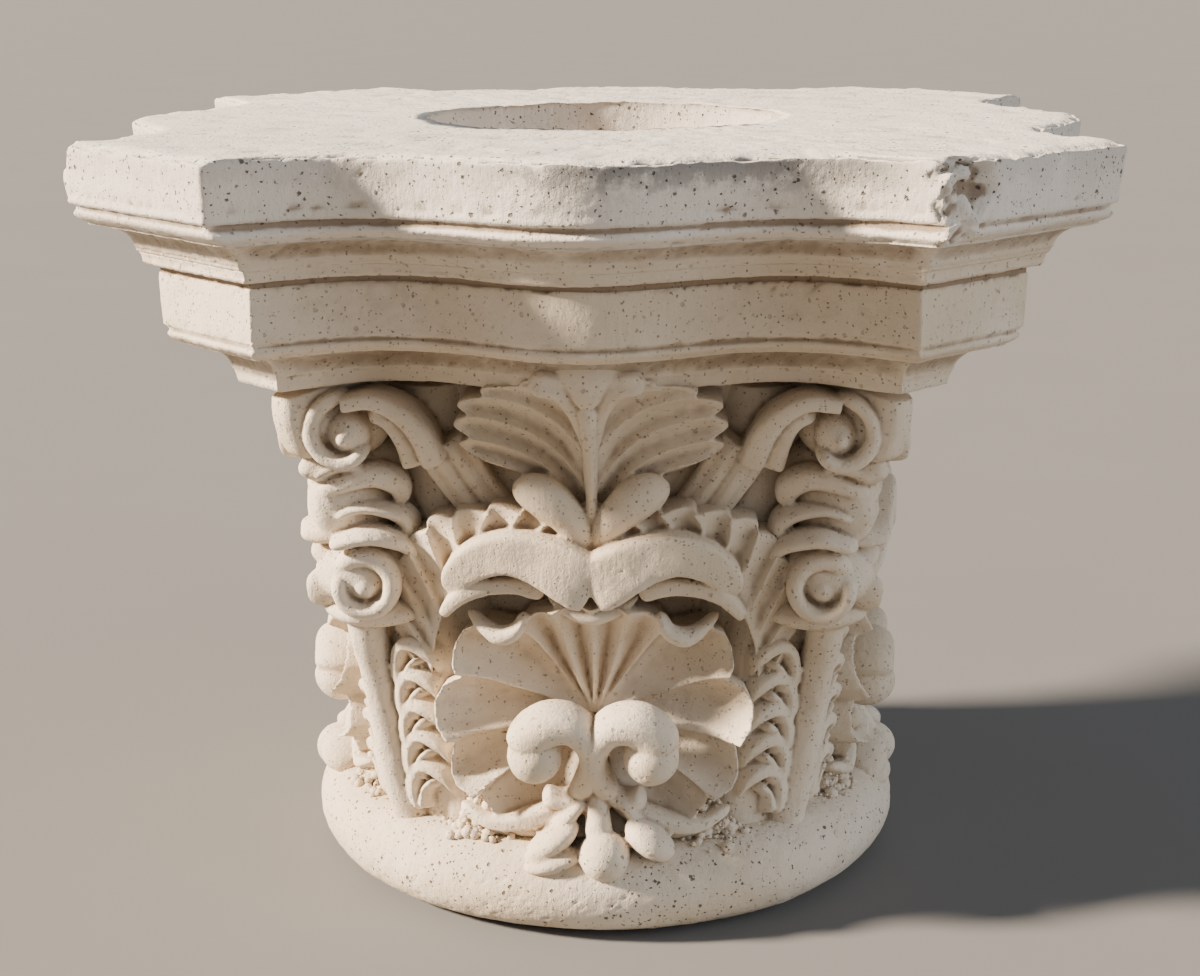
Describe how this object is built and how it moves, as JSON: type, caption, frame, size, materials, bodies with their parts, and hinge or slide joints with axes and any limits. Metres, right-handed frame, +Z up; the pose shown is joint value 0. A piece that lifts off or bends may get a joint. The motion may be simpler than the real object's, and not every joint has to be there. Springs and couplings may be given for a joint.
{
  "type": "corinthian capital",
  "caption": "Carved limestone capital: round foot ring, bell with acanthus, shell leaves, scrolls and corner volutes, and a moulded bowed top slab with a round hole.",
  "frame": {"origin": "centre of the foot ring's underside", "axes": "+Z up; the front looks along -Y; +X to the viewer's right"},
  "size_m": [0.616, 0.616, 0.4936],
  "materials": {
    "limestone": "matt weathered pale limestone"
  },
  "bodies": {
    "root": {"capital": "limestone"}
  },
  "joints": []
}
